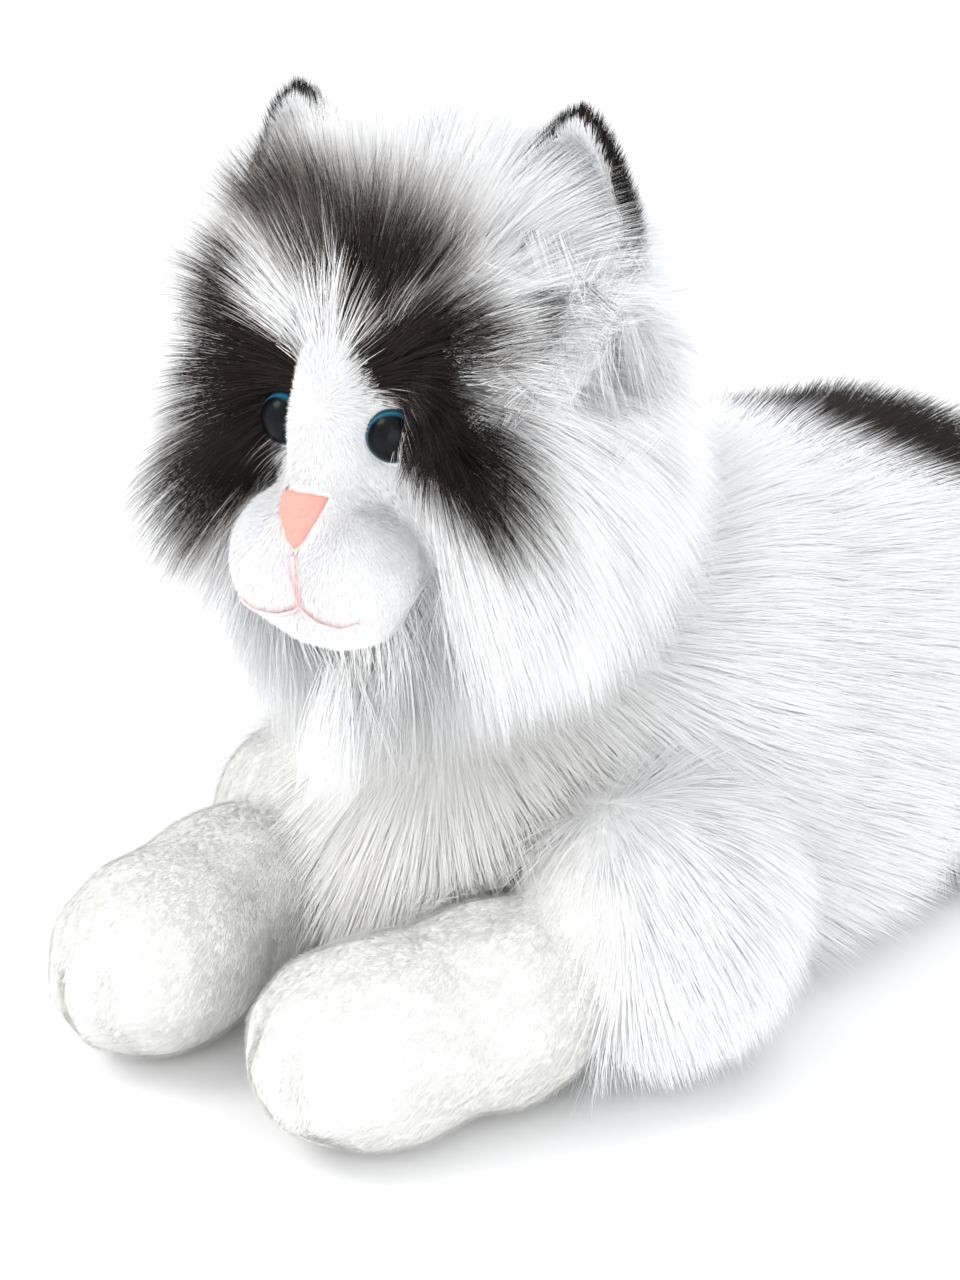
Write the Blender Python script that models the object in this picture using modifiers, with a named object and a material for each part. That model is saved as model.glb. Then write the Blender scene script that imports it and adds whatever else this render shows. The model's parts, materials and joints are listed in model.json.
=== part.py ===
"""Stuffed long-haired toy cat, lying down with its forelegs stretched out in front.

The cat faces -Y, its left side is +X, and it lies on the plane z = 0. Lengths are in metres.
A soft piece is a form: ellipsoid lobes fused into one surface. A cover is such a form with a
hollow of the same lobes in it, and the wadding fills that hollow. A cover is as thick as its
backing and its pile together, so its outside is where the tips of the pile end.
"""
import math

import bmesh
import bpy
from mathutils import Matrix, Vector
from mathutils.bvhtree import BVHTree

# ---- driving dimensions -------------------------------------------------------------------

FAR = 0.6                   # a cutting box runs this far past the cat

GAP = 0.0003                # between pieces that touch
WADDING_GAP = 0.0018        # between a cover and the wadding in it
CLEARANCE = 0.003           # around a piece that swings

TRUNK_PILE = 0.015          # cover thickness of the trunk, legs and tail
TRUNK_BASE = 0.006          # cover thickness under the belly
PAW_PILE = 0.005
TAIL_PILE = 0.012
PELLET_TOP = 0.046          # the weighting pellets fill the trunk up to here

HEAD_CENTRE = Vector((0.0, -0.118, 0.240))
HEAD_TURN = 7.0             # degrees to the cat's left, at rest
HEAD_RADII = (0.092, 0.090, 0.092)
CORE_CENTRE = (0.0, 0.004, 0.0)
CORE_RADII = (0.064, 0.056, 0.066)
FACE_PILE = 0.003
NECK_INNER = 0.0945         # the neck pad is a dished layer between the head and the trunk
NECK_OUTER = 0.1005
SEAT_RADIUS = 0.1035
NECK_LEAN = 27.0            # degrees, from straight down towards the tail
NECK_SPREAD = 35.0
NECK_HOLE_RADIUS = 0.034    # ball that cuts the opening at the neck
NECK_HOLE_REACH = 0.080

EYE_PLACE = (0.0205, -0.0535, -0.004)
EYE_OUTWARD = 14.0          # degrees
EYE_RADIUS = 0.0085
EYE_DEPTH = 0.0072
EYE_RIM = 0.0008
STEM_RADIUS = 0.0022
STEM_LENGTH = 0.0130
WASHER_RADIUS = 0.0078
WASHER_THICKNESS = 0.0016
WASHER_SET_BACK = 0.0048    # behind the flat back of the eye

NOSE_WIDTH = 0.0165
NOSE_TOP = -0.0215
NOSE_BOTTOM = -0.0375
NOSE_THICKNESS = 0.0018
NOSE_ROUNDING = 0.0022
NOSE_PRISM_HALF = 0.020     # half the length of the prism that the nose is cut from
NOSE_PLACE = -0.082         # the prism's middle, in front of the head's centre
THREAD_RADIUS = 0.0009
THREAD_LIFT = 0.0020        # from the muzzle's surface to the middle of the thread

EAR_PLACE = (0.0485, 0.006, 0.047)
EAR_LEAN = 8.0              # degrees outwards
EAR_RADII = (0.0255, 0.0110, 0.0430)
EAR_POINT = 0.45            # how much narrower the ear is at its tip
EAR_LAYER = 0.0035
EAR_CUP = 0.0015            # how much smaller than the ear its cup is, all round
EAR_DISH = 0.0020           # how much larger the hollow in front of the lining is
EAR_ROOT = -0.004           # height of the ear's lowest edge above its joint
EAR_ABOVE_CORE = 0.0045     # so that the ear's root clears the wadding as it flexes
EAR_FLEX = 15.0

FORELEG = {
    "left": {"shoulder": Vector((0.080, -0.098, 0.0600)), "toe_in": -24.0, "reach": 0.102},
    "right": {"shoulder": Vector((-0.074, -0.098, 0.0520)), "toe_in": 6.0, "reach": 0.092},
}
SHOULDER_HALF_WIDTH = 0.049
FOREPAW_RADII = (0.038, 0.049, 0.037)
FOREPAW_HEIGHT = 0.036
CUFF = 0.056                # from the shoulder to where the long pile ends
FORELEG_LIFT = 15.0

HIP = Vector((0.094, 0.178, 0.0605))
HAUNCH_RADII = (0.044, 0.060, 0.060)
HINDPAW_RADII = (0.029, 0.044, 0.028)
HINDLEG_LIFT = 12.0
HIP_SEAM = (-0.042, 0.0, 0.006)
HIP_SEAM_RADIUS = 0.024     # the opening on the inside of the haunch
LEG_FOOT = 0.0004           # height of a resting leg's sole

TAIL_CENTRE = Vector((-0.090, 0.175, 0.0))
TAIL_TURN_RADIUS = 0.096
TAIL_JOINTS = (55.0, 112.0, 168.0)      # degrees round the turn, counted from +X
TAIL_ROOT_RISE = 0.014      # the root's height over the rest of the tail
TAIL_STRAIGHT = 0.085
TAIL_THICKNESS = 0.029
TAIL_SEAM_RADIUS = 0.016    # the opening at the root of each length of tail
TAIL_SEAM_BACK = 0.020
TAIL_FLEX = 25.0

WHITE = (0.90, 0.90, 0.91)
CREAM = (0.86, 0.84, 0.76)
BROWN = (0.075, 0.060, 0.055)
WADDING = (0.82, 0.82, 0.80)
PINK = (0.80, 0.36, 0.30)
MAUVE = (0.62, 0.33, 0.36)
PELLETS = (0.70, 0.70, 0.66)
WASHER_WHITE = (0.86, 0.86, 0.84)
EYE_BLUE = (0.02, 0.06, 0.09)

# Lobes are (centre, radii) pairs. The trunk's stand in the cat's frame, the head's about the
# head's centre, and a leg's about its shoulder or hip, for the cat's left side.
TRUNK = [
    ((0.0, 0.090, 0.087), (0.112, 0.152, 0.093)),
    ((0.0, 0.168, 0.085), (0.104, 0.086, 0.093)),
    ((0.0, -0.045, 0.100), (0.096, 0.085, 0.098)),
    ((0.0, -0.112, 0.080), (0.060, 0.050, 0.074)),
    ((0.0, -0.012, 0.160), (0.072, 0.062, 0.046)),
    ((0.052, 0.040, 0.044), (0.064, 0.120, 0.052)),
    ((-0.052, 0.040, 0.044), (0.064, 0.120, 0.052)),
]
SADDLE = [((0.0, 0.165, 0.207), (0.072, 0.110, 0.062))]
HEAD = [((0.0, 0.0, 0.0), HEAD_RADII)]
CORE = [(CORE_CENTRE, CORE_RADII)]
FACE_BOWL = [((0.0, -0.091, -0.016), (0.057, 0.050, 0.064))]
FACE = [
    ((0.0, -0.038, -0.012), (0.044, 0.018, 0.056)),
    ((0.0, -0.052, -0.010), (0.015, 0.018, 0.042)),
    ((0.0130, -0.062, -0.046), (0.0185, 0.0215, 0.022)),
    ((-0.0130, -0.062, -0.046), (0.0185, 0.0215, 0.022)),
    ((0.0, -0.054, -0.062), (0.025, 0.021, 0.014)),
    ((0.0, -0.060, -0.030), (0.012, 0.018, 0.018)),
]
MUZZLE_BACK = [((0.0, -0.038, -0.042), (0.024, 0.018, 0.019))]
EAR_ROOM = [((0.0, 0.0, 0.010), (0.031, 0.015, 0.032)), ((0.0, 0.0, 0.034), (0.020, 0.012, 0.018))]
HINDLEG = [
    ((0.0, 0.0, 0.0), HAUNCH_RADII),
    ((0.008, -0.040, -0.033), (0.031, 0.040, 0.029)),
    ((0.008, -0.070, -0.034), HINDPAW_RADII),
]
MOUTH = [(-0.022, -0.0575), (-0.016, -0.0600), (-0.008, -0.0600), (0.0, -0.0570),
         (0.008, -0.0600), (0.016, -0.0600), (0.022, -0.0575)]
PHILTRUM = [(0.0, -0.0395), (0.0, -0.0440), (0.0, -0.0490), (0.0, -0.0545)]

# ---- tools --------------------------------------------------------------------------------


def clear_scene():
    for thing in list(bpy.data.objects):
        bpy.data.objects.remove(thing, do_unlink=True)


def new_collection(name):
    group = bpy.data.collections.new(name)
    bpy.context.scene.collection.children.link(group)
    return group


def new_material(name, colour, roughness, metallic=0.0):
    material = bpy.data.materials.new(name)
    material.use_nodes = True
    shader = material.node_tree.nodes["Principled BSDF"]
    shader.inputs["Base Color"].default_value = (*colour, 1.0)
    shader.inputs["Roughness"].default_value = roughness
    shader.inputs["Metallic"].default_value = metallic
    material.diffuse_color = (*colour, 1.0)
    return material


def pivot(name, place, turn=(0.0, 0.0, 0.0), parent=None):
    """An empty on a joint's axis. The pieces that move with the joint hang from it."""
    empty = bpy.data.objects.new(name, None)
    PARTS.objects.link(empty)
    empty.location = place
    empty.rotation_euler = [math.radians(angle) for angle in turn]
    empty.parent = parent or CAT
    return empty


def baked_mesh(thing):
    """The mesh of thing after its modifiers, as new data in its own space."""
    graph = bpy.context.evaluated_depsgraph_get()
    return bpy.data.meshes.new_from_object(thing.evaluated_get(graph))


def bake(thing):
    mesh = baked_mesh(thing)
    thing.modifiers.clear()
    thing.data = mesh
    return thing


def add_piece(name, mesh, parent, material=None):
    """A part of the cat, or a cutter when it has no material."""
    piece = bpy.data.objects.new(name, mesh)
    piece.parent = parent
    if material:
        PARTS.objects.link(piece)
        piece.data.materials.clear()
        piece.data.materials.append(material)
        piece.data.shade_smooth()
    else:
        CUTTERS.objects.link(piece)
        piece.hide_render = True
        piece.display_type = "WIRE"
    return piece


def fused(name, lobes, parent, triangles, grow=0.0, material=None, swing="X", angles=(0.0,),
          voxel=0.005):
    """One closed surface around the lobes, grown all round and swept through the angles."""
    shape = bmesh.new()
    for angle in angles:
        turn = Matrix.Rotation(math.radians(angle), 4, swing)
        for centre, radii in lobes:
            size = Matrix.Diagonal([radius + grow for radius in radii] + [1.0])
            place = turn @ Matrix.Translation(centre) @ size
            bmesh.ops.create_icosphere(shape, subdivisions=4, radius=1.0, matrix=place)
    mesh = bpy.data.meshes.new(name)
    shape.to_mesh(mesh)
    shape.free()
    piece = add_piece(name, mesh, parent, material)
    fuse = piece.modifiers.new("fuse", "REMESH")
    fuse.mode = "VOXEL"
    fuse.voxel_size = voxel
    soften = piece.modifiers.new("soften", "SMOOTH")
    soften.factor = 0.5
    soften.iterations = 6
    bake(piece)
    thin = piece.modifiers.new("thin", "DECIMATE")
    thin.ratio = triangles / (2 * len(piece.data.polygons))
    bake(piece)
    if material:
        piece.data.materials.clear()
        piece.data.materials.append(material)
        piece.data.shade_smooth()
    return piece


def half_space(name, axis, side, limit, parent=None):
    """A big box that holds everything on one side (-1 below, 1 above) of a plane."""
    shape = bmesh.new()
    bmesh.ops.create_cube(shape, size=2.0 * FAR)
    for corner in shape.verts:
        corner.co[axis] += limit + side * FAR
    mesh = bpy.data.meshes.new(name)
    shape.to_mesh(mesh)
    shape.free()
    return add_piece(name, mesh, parent or CAT)


def ball(name, radius, parent, place=(0.0, 0.0, 0.0), segments=14):
    shape = bmesh.new()
    bmesh.ops.create_uvsphere(shape, u_segments=segments, v_segments=segments // 2, radius=radius)
    mesh = bpy.data.meshes.new(name)
    shape.to_mesh(mesh)
    shape.free()
    cutter = add_piece(name, mesh, parent)
    cutter.location = place
    return cutter


def turned(name, profile, parent, material=None, steps=14):
    """A profile of (radius, height) points, turned about the piece's Z axis."""
    mesh = bpy.data.meshes.new(name)
    edges = [(k, k + 1) for k in range(len(profile) - 1)]
    mesh.from_pydata([(radius, 0.0, height) for radius, height in profile], edges, [])
    piece = add_piece(name, mesh, parent, material)
    spin = piece.modifiers.new("turn", "SCREW")
    spin.steps = steps
    spin.render_steps = steps
    spin.use_merge_vertices = True
    spin.merge_threshold = 0.0001
    return piece


def apply_boolean(piece, operation, cutters):
    for cutter in cutters:
        modifier = piece.modifiers.new(operation.lower() + " " + cutter.name, "BOOLEAN")
        modifier.operation = operation
        modifier.object = cutter
        modifier.solver = "EXACT"
    return piece


def subtract(piece, *cutters):
    return apply_boolean(piece, "DIFFERENCE", cutters)


def intersect(piece, *cutters):
    return apply_boolean(piece, "INTERSECT", cutters)


def offset_copy(piece, name, parent, amount, material=None):
    """The piece's surface moved out along its normals, so the gap to it is the same all over."""
    mesh = piece.data.copy()
    normals = [vertex.normal.copy() for vertex in mesh.vertices]
    for vertex, normal in zip(mesh.vertices, normals):
        vertex.co += normal * amount
    mesh.materials.clear()
    return add_piece(name, mesh, parent, material)


def thread(name, places, parent, surface, material):
    """Embroidery thread laid on a surface: places are (x, z) and the depth is the surface's."""
    tree = BVHTree.FromPolygons([vertex.co for vertex in surface.vertices],
                                [face.vertices for face in surface.polygons])
    curve = bpy.data.curves.new(name, "CURVE")
    curve.dimensions = "3D"
    curve.bevel_depth = THREAD_RADIUS
    curve.bevel_resolution = 1
    curve.use_fill_caps = True
    finer = []
    for (x, z), (next_x, next_z) in zip(places, places[1:]):
        finer += [(x + (next_x - x) * k / 3.0, z + (next_z - z) * k / 3.0) for k in range(3)]
    finer.append(places[-1])
    line = curve.splines.new("POLY")
    line.points.add(len(finer) - 1)
    for point, (x, z) in zip(line.points, finer):
        hit, normal, _, _ = tree.ray_cast(Vector((x, -0.2, z)), Vector((0.0, 1.0, 0.0)))
        point.co = (*(hit + normal * THREAD_LIFT), 1.0)
    guide = bpy.data.objects.new(name + "_line", curve)
    CUTTERS.objects.link(guide)
    mesh = baked_mesh(guide)
    bpy.data.objects.remove(guide)
    shape = bmesh.new()
    shape.from_mesh(mesh)
    bmesh.ops.remove_doubles(shape, verts=shape.verts, dist=0.00005)
    shape.to_mesh(mesh)
    shape.free()
    return add_piece(name, mesh, parent, material)


# ---- the cat's pieces -----------------------------------------------------------------------


def foreleg_lobes(side):
    """Shoulder, forearm and paw, about the shoulder; the leg runs towards -Y."""
    height = FORELEG[side]["shoulder"].z
    reach = FORELEG[side]["reach"]
    round_shoulder = (SHOULDER_HALF_WIDTH, height - LEG_FOOT, height - LEG_FOOT)
    paw_z = FOREPAW_HEIGHT - height
    return [
        ((0.0, 0.0, 0.0), round_shoulder),
        ((0.0, -0.62 * reach, paw_z + 0.002), (0.036, 0.046, 0.037)),
        ((0.0, -reach, paw_z), FOREPAW_RADII),
    ]


def mirrored(lobes, side):
    sign = 1.0 if side == "left" else -1.0
    return [((sign * centre[0], centre[1], centre[2]), radii) for centre, radii in lobes]


def sweep_angles(limit):
    """From rest to a lift of limit degrees. Lifting turns the leg about -X."""
    return [0.0, -limit / 3.0, -2.0 * limit / 3.0, -limit]


def tail_point(angle):
    """A point of the tail's line: round the turn, then straight along the cat's right side."""
    past = math.radians(max(angle - 180.0, 0.0)) * TAIL_TURN_RADIUS
    round_angle = math.radians(min(angle, 180.0))
    to_root = (TAIL_JOINTS[1] - angle) / (TAIL_JOINTS[1] - TAIL_JOINTS[0])
    height = TAIL_THICKNESS + TAIL_ROOT_RISE * max(0.0, to_root)
    return TAIL_CENTRE + Vector((TAIL_TURN_RADIUS * math.cos(round_angle),
                                 TAIL_TURN_RADIUS * math.sin(round_angle) - past, height))


def tail_lobes(start, stop, tip=False):
    """Balls along the tail from start to stop degrees, about the point at start."""
    count = 6
    origin = tail_point(start)
    lobes = []
    for k in range(count):
        along = k / (count - 1)
        radius = TAIL_THICKNESS * (1.0 - 0.25 * along) if tip else TAIL_THICKNESS
        centre = tail_point(start + (stop - start) * along) - origin
        lobes.append((tuple(centre), (radius, radius, radius)))
    return lobes


def make_legs(floor):
    """Both pairs of legs. Returns the sweeps that the trunk leaves free for them."""
    sweeps = []
    for side in ("left", "right"):
        leg = FORELEG[side]
        name = "foreleg_" + side
        joint = pivot(name + "_joint", leg["shoulder"], (0.0, 0.0, leg["toe_in"]))
        lobes = foreleg_lobes(side)
        inner = [(centre, [r - TRUNK_PILE for r in radii]) for centre, radii in lobes[:1]]
        inner += [(centre, [r - PAW_PILE for r in radii]) for centre, radii in lobes[1:]]
        hollow = fused(name + "_hollow", inner, joint, 180)
        wadding = offset_copy(hollow, name + "_stuffing", joint, -WADDING_GAP,
                              MATERIALS["wadding"])
        sole = LEG_FOOT + PAW_PILE
        subtract(wadding, half_space(name + "_inner_sole", 2, -1, sole + WADDING_GAP))
        subtract(hollow, half_space(name + "_sole", 2, -1, sole))
        before = half_space(name + "_before", 1, -1, -CUFF, joint)
        behind = half_space(name + "_behind", 1, 1, -CUFF - GAP, joint)
        sleeve = fused(name + "_sleeve", lobes, joint, 360, material=MATERIALS["white"])
        subtract(sleeve, floor, before, hollow)
        paw = fused(name + "_paw", lobes, joint, 360, material=MATERIALS["cream"])
        subtract(paw, floor, behind, hollow)
        sweeps.append(fused(name + "_sweep", lobes, joint, 280, grow=CLEARANCE,
                            angles=sweep_angles(FORELEG_LIFT)))
    for side in ("left", "right"):
        name = "hindleg_" + side
        sign = 1.0 if side == "left" else -1.0
        joint = pivot(name + "_joint", (sign * HIP.x, HIP.y, HIP.z))
        lobes = mirrored(HINDLEG, side)
        inner = [(centre, [r - TRUNK_PILE for r in radii]) for centre, radii in lobes]
        hollow = fused(name + "_hollow", inner, joint, 130, voxel=0.004)
        wadding = offset_copy(hollow, name + "_stuffing", joint, -WADDING_GAP,
                              MATERIALS["wadding"])
        coat = fused(name + "_coat", lobes, joint, 260, material=MATERIALS["white"])
        seam_place = (sign * HIP_SEAM[0], HIP_SEAM[1], HIP_SEAM[2])
        seam = ball(name + "_seam", HIP_SEAM_RADIUS, joint, seam_place)
        subtract(coat, floor, hollow, seam)
        sweeps.append(fused(name + "_sweep", lobes, joint, 240, grow=CLEARANCE,
                            angles=sweep_angles(HINDLEG_LIFT)))
    return sweeps


def make_tail(floor):
    """Three lengths of tail, each on the one before. Returns the room its root needs."""
    limits = list(TAIL_JOINTS) + [180.0 + math.degrees(TAIL_STRAIGHT / TAIL_TURN_RADIUS)]
    names = ("tail_base", "tail_middle", "tail_tip")
    rooms = []
    pieces = []
    for k, name in enumerate(names):
        joint = pivot(name + "_joint", tail_point(limits[k]))
        lobes = tail_lobes(limits[k], limits[k + 1], tip=name == "tail_tip")
        inner = [(centre, [r - TAIL_PILE for r in radii]) for centre, radii in lobes]
        hollow = fused(name + "_hollow", inner, joint, 100, voxel=0.004)
        wadding = offset_copy(hollow, name + "_stuffing", joint, -WADDING_GAP,
                              MATERIALS["wadding"])
        coat = fused(name + "_coat", lobes, joint, 200, material=MATERIALS["brown"])
        back = (tail_point(limits[k] - 1.0) - tail_point(limits[k])).normalized()
        seam = ball(name + "_seam", TAIL_SEAM_RADIUS, joint, back * TAIL_SEAM_BACK)
        subtract(coat, floor, hollow, seam)
        rooms.append(fused(name + "_room", lobes, joint, 180, grow=CLEARANCE, swing="Z",
                           angles=(0.0, -TAIL_FLEX / 2.0, -TAIL_FLEX)))
        pieces.append((coat, wadding))
    for (coat, wadding), room in zip(pieces, rooms[1:]):
        subtract(coat, room)
        subtract(wadding, room)
    return rooms[0]


def make_trunk(floor, seat, rooms):
    """The trunk's cover with its dark saddle, its wadding, and the pellets that weight it."""
    hollow = fused("trunk_hollow", TRUNK, CAT, 440, grow=-TRUNK_PILE, voxel=0.006)
    wadding = offset_copy(hollow, "trunk_stuffing", CAT, -WADDING_GAP, MATERIALS["wadding"])
    pellets = offset_copy(hollow, "pellet_bag", CAT, -WADDING_GAP, MATERIALS["pellets"])
    subtract(hollow, half_space("trunk_base", 2, -1, TRUNK_BASE))
    saddle_region = fused("saddle_region", SADDLE, CAT, 160)
    saddle_room = offset_copy(saddle_region, "saddle_room", CAT, GAP)

    coat = fused("trunk_coat", TRUNK, CAT, 700, material=MATERIALS["white"], voxel=0.006)
    subtract(coat, floor, seat, *rooms, hollow, saddle_room)
    saddle = fused("saddle_panel", TRUNK, CAT, 700, material=MATERIALS["brown"], voxel=0.006)
    intersect(saddle, saddle_region)
    subtract(saddle, hollow)

    subtract(wadding, half_space("pellet_room", 2, -1, PELLET_TOP + WADDING_GAP), seat, *rooms)
    subtract(pellets, half_space("above_pellets", 2, 1, PELLET_TOP),
             half_space("below_pellets", 2, -1, TRUNK_BASE + WADDING_GAP), *rooms)


def dished_layer(inner, outer, spread):
    """Profile of a layer between two balls round the origin, out to spread degrees."""
    angles = [math.radians(spread * k / 5.0) for k in range(6)]
    topside = [(inner * math.sin(a), -inner * math.cos(a)) for a in angles]
    underside = [(outer * math.sin(a), -outer * math.cos(a)) for a in reversed(angles)]
    return topside + underside


def make_neck(neck):
    pad = turned("neck_stuffing", dished_layer(NECK_INNER, NECK_OUTER, NECK_SPREAD), neck,
                 MATERIALS["wadding"], steps=24)
    pad.rotation_euler = (math.radians(NECK_LEAN), 0.0, 0.0)


def eye_profile(grow):
    """From the front of the dome, over its rim and down the stem that holds it."""
    radius = EYE_RADIUS + grow
    dome = [(radius * math.sin(a), EYE_DEPTH * math.cos(a) + grow)
            for a in [math.radians(22.5 * k) for k in range(5)]]
    dome[0] = (0.0, dome[0][1])
    stem = STEM_RADIUS + grow
    end = -STEM_LENGTH - grow
    back = -EYE_RIM - grow
    return dome + [(radius, back), (stem, back), (stem, end), (0.0, end)]


def washer_profile():
    hole = STEM_RADIUS + GAP
    rim = WASHER_RADIUS
    top = -WASHER_SET_BACK
    bottom = top - WASHER_THICKNESS
    return [(rim, top), (rim, bottom), (hole, bottom), (hole, top), (rim, top)]


def make_eyes(head):
    """Safety eyes: a domed eye on a stem through the fabric, and the washer that locks it."""
    sockets = []
    wells = []
    for side, sign in (("left", 1.0), ("right", -1.0)):
        x, y, z = EYE_PLACE
        place = pivot("eye_" + side + "_place", (sign * x, y, z), (90.0, 0.0, sign * EYE_OUTWARD),
                      head)
        turned("eye_" + side, eye_profile(0.0), place, MATERIALS["eye"])
        turned("eye_washer_" + side, washer_profile(), place, MATERIALS["washer"])
        sockets.append(turned("eye_socket_" + side, eye_profile(GAP), place))
        rim = WASHER_RADIUS + 2.0 * GAP
        top = -WASHER_SET_BACK + 2.0 * GAP
        end = -STEM_LENGTH - 3.0 * GAP
        well = [(0.0, top), (rim, top), (rim, end), (0.0, end)]
        wells.append(turned("eye_well_" + side, well, place))
    return sockets, wells


def make_ears(head):
    """Each ear: a dark back and a pale lining in its cup. Returns the room they need."""
    rooms = []
    skull = fused("ear_skull", CORE, head, 240, grow=EAR_ABOVE_CORE)
    for side, sign in (("left", 1.0), ("right", -1.0)):
        x, y, z = EAR_PLACE
        joint = pivot("ear_" + side + "_joint", (sign * x, y, z), (0.0, sign * EAR_LEAN, 0.0), head)
        root = half_space("ear_" + side + "_root", 2, -1, EAR_ROOT, joint)
        back = ear_form("ear_" + side + "_back", joint, 0.0, 0.0, MATERIALS["brown"])
        cup = ear_form("ear_" + side + "_cup", joint, -EAR_CUP, -EAR_LAYER)
        subtract(back, skull, root, cup)
        lining = ear_form("ear_" + side + "_lining", joint, -EAR_CUP - GAP, -EAR_LAYER,
                          MATERIALS["white"])
        dish = ear_form("ear_" + side + "_dish", joint, EAR_DISH, -2.0 * EAR_LAYER - EAR_DISH)
        subtract(lining, skull, root, dish)
        rooms.append(fused("ear_" + side + "_room", EAR_ROOM, joint, 160, grow=CLEARANCE,
                           angles=(-EAR_FLEX, 0.0, EAR_FLEX), voxel=0.004))
    return rooms


def ear_form(name, joint, grow, shift, material=None):
    """A flat egg shape that narrows towards its tip, moved along Y by shift."""
    shape = bmesh.new()
    bmesh.ops.create_uvsphere(shape, u_segments=14, v_segments=8, radius=1.0)
    for corner in shape.verts:
        narrow = 1.0 - EAR_POINT * max(corner.co.z, 0.0) ** 1.5
        corner.co = (corner.co.x * (EAR_RADII[0] + grow) * narrow,
                     corner.co.y * (EAR_RADII[1] + grow) * narrow + shift,
                     corner.co.z * (EAR_RADII[2] + grow))
    mesh = bpy.data.meshes.new(name)
    shape.to_mesh(mesh)
    shape.free()
    return add_piece(name, mesh, joint, material)


def nose_prism(head):
    """The nose's rounded triangle, standing across the front of the muzzle."""
    curve = bpy.data.curves.new("nose_outline", "CURVE")
    curve.dimensions = "2D"
    curve.fill_mode = "BOTH"
    curve.extrude = NOSE_PRISM_HALF
    curve.resolution_u = 3
    line = curve.splines.new("BEZIER")
    corners = [(-NOSE_WIDTH / 2.0, NOSE_TOP), (NOSE_WIDTH / 2.0, NOSE_TOP), (0.0, NOSE_BOTTOM)]
    line.bezier_points.add(2)
    line.use_cyclic_u = True
    for k, point in enumerate(line.bezier_points):
        here = Vector(corners[k])
        before = Vector(corners[k - 1])
        after = Vector(corners[(k + 1) % 3])
        along = (after - before).normalized() * NOSE_ROUNDING
        point.co = (*here, 0.0)
        point.handle_left = (*(here - along), 0.0)
        point.handle_right = (*(here + along), 0.0)
    guide = bpy.data.objects.new("nose_outline", curve)
    CUTTERS.objects.link(guide)
    mesh = baked_mesh(guide)
    bpy.data.objects.remove(guide)
    shape = bmesh.new()
    shape.from_mesh(mesh)
    bmesh.ops.remove_doubles(shape, verts=shape.verts, dist=0.00005)
    bmesh.ops.recalc_face_normals(shape, faces=shape.faces)
    shape.to_mesh(mesh)
    shape.free()
    prism = add_piece("nose", mesh, head, MATERIALS["pink"])
    prism.rotation_euler = (math.radians(90.0), 0.0, 0.0)
    prism.location = (0.0, NOSE_PLACE, 0.0)
    return prism


def make_head(head):
    """Long-pile cover, wadding, and the short-pile face with its eyes, nose and mouth."""
    sockets, wells = make_eyes(head)
    ear_rooms = make_ears(head)
    hollow = fused("head_hollow", CORE, head, 240)
    panel = fused("face_panel", FACE, head, 440, material=MATERIALS["cream"], voxel=0.003)
    surface = panel.data.copy()
    face_room = offset_copy(panel, "face_room", head, 2.0 * GAP)
    bowl = fused("face_bowl", FACE_BOWL, head, 160)
    neck_way = (0.0, math.sin(math.radians(NECK_LEAN)), -math.cos(math.radians(NECK_LEAN)))
    neck_hole = ball("neck_hole", NECK_HOLE_RADIUS, head,
                     [NECK_HOLE_REACH * way for way in neck_way])

    coat = fused("head_coat", HEAD, head, 460, material=MATERIALS["white"])
    subtract(coat, hollow, face_room, bowl, neck_hole, *ear_rooms)

    core = offset_copy(hollow, "head_stuffing", head, -WADDING_GAP, MATERIALS["wadding"])
    subtract(core, *wells, *sockets)

    muzzle_hollow = fused("muzzle_hollow", FACE[2:] + MUZZLE_BACK, head, 200, grow=-FACE_PILE,
                          voxel=0.003)
    subtract(panel, hollow, muzzle_hollow, *sockets, *wells)
    filling = offset_copy(muzzle_hollow, "muzzle_stuffing", head, -WADDING_GAP,
                          MATERIALS["wadding"])
    subtract(filling, offset_copy(hollow, "core_room", head, GAP), *wells)

    nose = nose_prism(head)
    intersect(nose, offset_copy(panel, "nose_front", head, NOSE_THICKNESS))
    subtract(nose, offset_copy(panel, "nose_back", head, GAP))
    thread("mouth_stitch", MOUTH, head, surface, MATERIALS["mauve"])
    thread("philtrum_stitch", PHILTRUM, head, surface, MATERIALS["mauve"])


def stand_on_origin():
    """Moves the whole cat so that the middle of its box's underside is the origin."""
    bpy.context.view_layer.update()
    graph = bpy.context.evaluated_depsgraph_get()
    corners = []
    for piece in PARTS.objects:
        if piece.type == "MESH":
            solid = piece.evaluated_get(graph)
            corners += [solid.matrix_world @ vertex.co for vertex in solid.data.vertices]
    low = [min(corner[k] for corner in corners) for k in range(3)]
    high = [max(corner[k] for corner in corners) for k in range(3)]
    CAT.location = [-(low[0] + high[0]) / 2.0, -(low[1] + high[1]) / 2.0, -low[2]]


clear_scene()
PARTS = new_collection("plush_cat")
CUTTERS = new_collection("cutters")
CAT = bpy.data.objects.new("plush_cat", None)
PARTS.objects.link(CAT)
MATERIALS = {
    "white": new_material("white_long_pile", WHITE, 0.95),
    "cream": new_material("cream_short_pile", CREAM, 0.90),
    "brown": new_material("dark_brown_pile", BROWN, 0.90),
    "wadding": new_material("polyester_wadding", WADDING, 1.0),
    "pellets": new_material("plastic_pellets", PELLETS, 0.60),
    "pink": new_material("pink_velvet", PINK, 0.80),
    "mauve": new_material("mauve_thread", MAUVE, 0.70),
    "eye": new_material("eye_gloss", EYE_BLUE, 0.08),
    "washer": new_material("washer_plastic", WASHER_WHITE, 0.50),
}

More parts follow.
